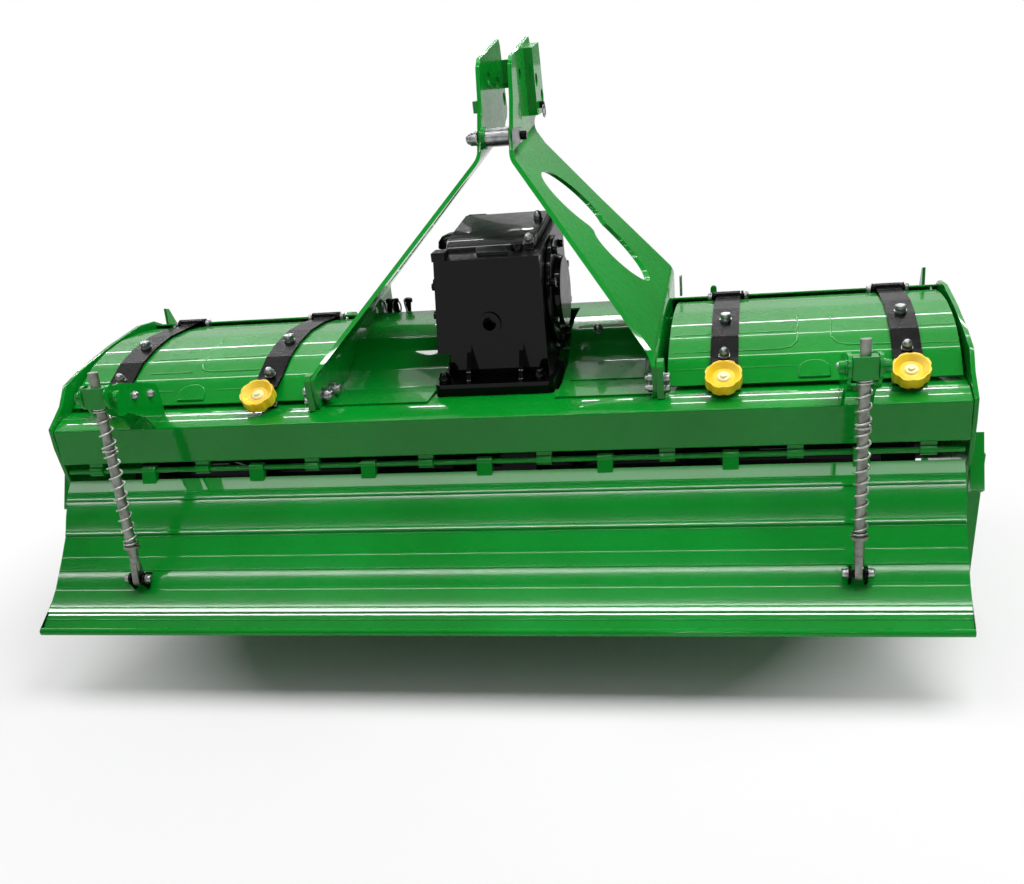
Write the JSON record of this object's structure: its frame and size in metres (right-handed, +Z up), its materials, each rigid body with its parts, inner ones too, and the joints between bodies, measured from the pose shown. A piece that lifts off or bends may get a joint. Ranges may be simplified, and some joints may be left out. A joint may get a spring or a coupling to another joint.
{
  "type": "three-point-hitch rotary tiller",
  "caption": "Centre-drive rotary tiller for a tractor's three-point hitch, with opening lids, a spring-held rear board and a spinning bladed rotor.",
  "frame": {"origin": "on the floor below the middle of the machine's overall box", "axes": "+X along the rotor to the machine's right, +Y forward to the tractor, +Z up"},
  "size_m": [1.788, 0.9373, 1.049],
  "materials": {
    "green_enamel": "gloss green enamel",
    "black_enamel": "semi-gloss black enamel",
    "zinc": "zinc plate",
    "rotor_paint": "black paint",
    "yellow_plastic": "moulded yellow plastic"
  },
  "bodies": {
    "frame": {"bearing_left": "green_enamel", "bearing_right": "green_enamel", "board_hinge": "green_enamel", "centre_hood": "green_enamel", "drive_case": "black_enamel", "end_plate_left": "green_enamel", "end_plate_right": "green_enamel", "front_beam": "green_enamel", "front_shield": "green_enamel", "gearbox": "black_enamel", "gearbox_cover_left": "black_enamel", "gearbox_cover_right": "black_enamel", "gearbox_top_cover": "black_enamel", "hitch_bracket_left": "green_enamel", "hitch_bracket_right": "green_enamel", "lid_clamps_left": "black_enamel", "lid_clamps_right": "black_enamel", "lid_hinges_left": "black_enamel", "lid_hinges_right": "black_enamel", "mast_left": "green_enamel", "mast_right": "green_enamel", "mast_spacer_front": "green_enamel", "mast_spacer_rear": "zinc", "pto_guard": "black_enamel", "rear_beam": "green_enamel", "rod_bracket_left": "green_enamel", "rod_bracket_right": "green_enamel", "skid_left": "green_enamel", "skid_right": "green_enamel"},
    "rotor": {"rotor_shaft": "rotor_paint", "rotor_tube_left": "rotor_paint", "rotor_tube_right": "rotor_paint", "blade_flanges_left": "rotor_paint", "blade_flanges_right": "rotor_paint", "blades_left": "rotor_paint", "blades_right": "rotor_paint"},
    "pto": {"pto_shaft": "zinc"},
    "lid_l": {"lid_left": "green_enamel", "lid_straps_left": "black_enamel", "knobs_left": "yellow_plastic"},
    "lid_r": {"lid_right": "green_enamel", "lid_straps_right": "black_enamel", "knobs_right": "yellow_plastic"},
    "board": {"rear_board": "green_enamel", "rod_clevis_left": "black_enamel", "rod_clevis_right": "black_enamel"},
    "swivel_l": {"rod_swivel_left": "green_enamel", "rod_spring_left": "zinc"},
    "swivel_r": {"rod_swivel_right": "green_enamel", "rod_spring_right": "zinc"},
    "rod_l": {"spring_rod_left": "zinc"},
    "rod_r": {"spring_rod_right": "zinc"}
  },
  "joints": [
    {"name": "rotor_spin", "type": "hinge", "parent": "frame", "child": "rotor", "pos_m": [0, 0.09, 0.25], "axis": [1, 0, 0], "continuous": true},
    {"name": "pto_spin", "type": "hinge", "parent": "frame", "child": "pto", "pos_m": [0.007, 0.24, 0.589], "axis": [0, 1, 0], "continuous": true},
    {"name": "lid_left_open", "type": "hinge", "parent": "frame", "child": "lid_l", "pos_m": [-0.59, 0.23, 0.54], "axis": [-1, 0, 0], "range_deg": [0, 100]},
    {"name": "lid_right_open", "type": "hinge", "parent": "frame", "child": "lid_r", "pos_m": [0.59, 0.23, 0.54], "axis": [-1, 0, 0], "range_deg": [0, 100]},
    {"name": "board_lift", "type": "hinge", "parent": "frame", "child": "board", "pos_m": [0, -0.232, 0.368], "axis": [-1, 0, 0], "range_deg": [0, 30]},
    {"name": "rod_left_swing", "type": "hinge", "parent": "frame", "child": "swivel_l", "pos_m": [-0.662, -0.352, 0.553], "axis": [-1, 0, 0], "range_deg": [0, 15.25]},
    {"name": "rod_left_slide", "type": "slide", "parent": "swivel_l", "child": "rod_l", "axis": [0, 0.1009, 0.9949], "range_m": [0, 0.08218], "deforming": ["rod_spring_left"]},
    {"name": "rod_right_swing", "type": "hinge", "parent": "frame", "child": "swivel_r", "pos_m": [0.662, -0.352, 0.553], "axis": [-1, 0, 0], "range_deg": [0, 15.25]},
    {"name": "rod_right_slide", "type": "slide", "parent": "swivel_r", "child": "rod_r", "axis": [0, 0.1009, 0.9949], "range_m": [0, 0.08218], "deforming": ["rod_spring_right"]}
  ],
  "couplings": [
    {"joint": "pto_spin", "follows": "rotor_spin", "ratio": 2.45},
    {"joint": "rod_left_swing", "follows": "board_lift", "ratio": 0.505},
    {"joint": "rod_left_slide", "follows": "board_lift", "m_per_rad": 0.156},
    {"joint": "rod_right_swing", "follows": "board_lift", "ratio": 0.505},
    {"joint": "rod_right_slide", "follows": "board_lift", "m_per_rad": 0.156}
  ]
}
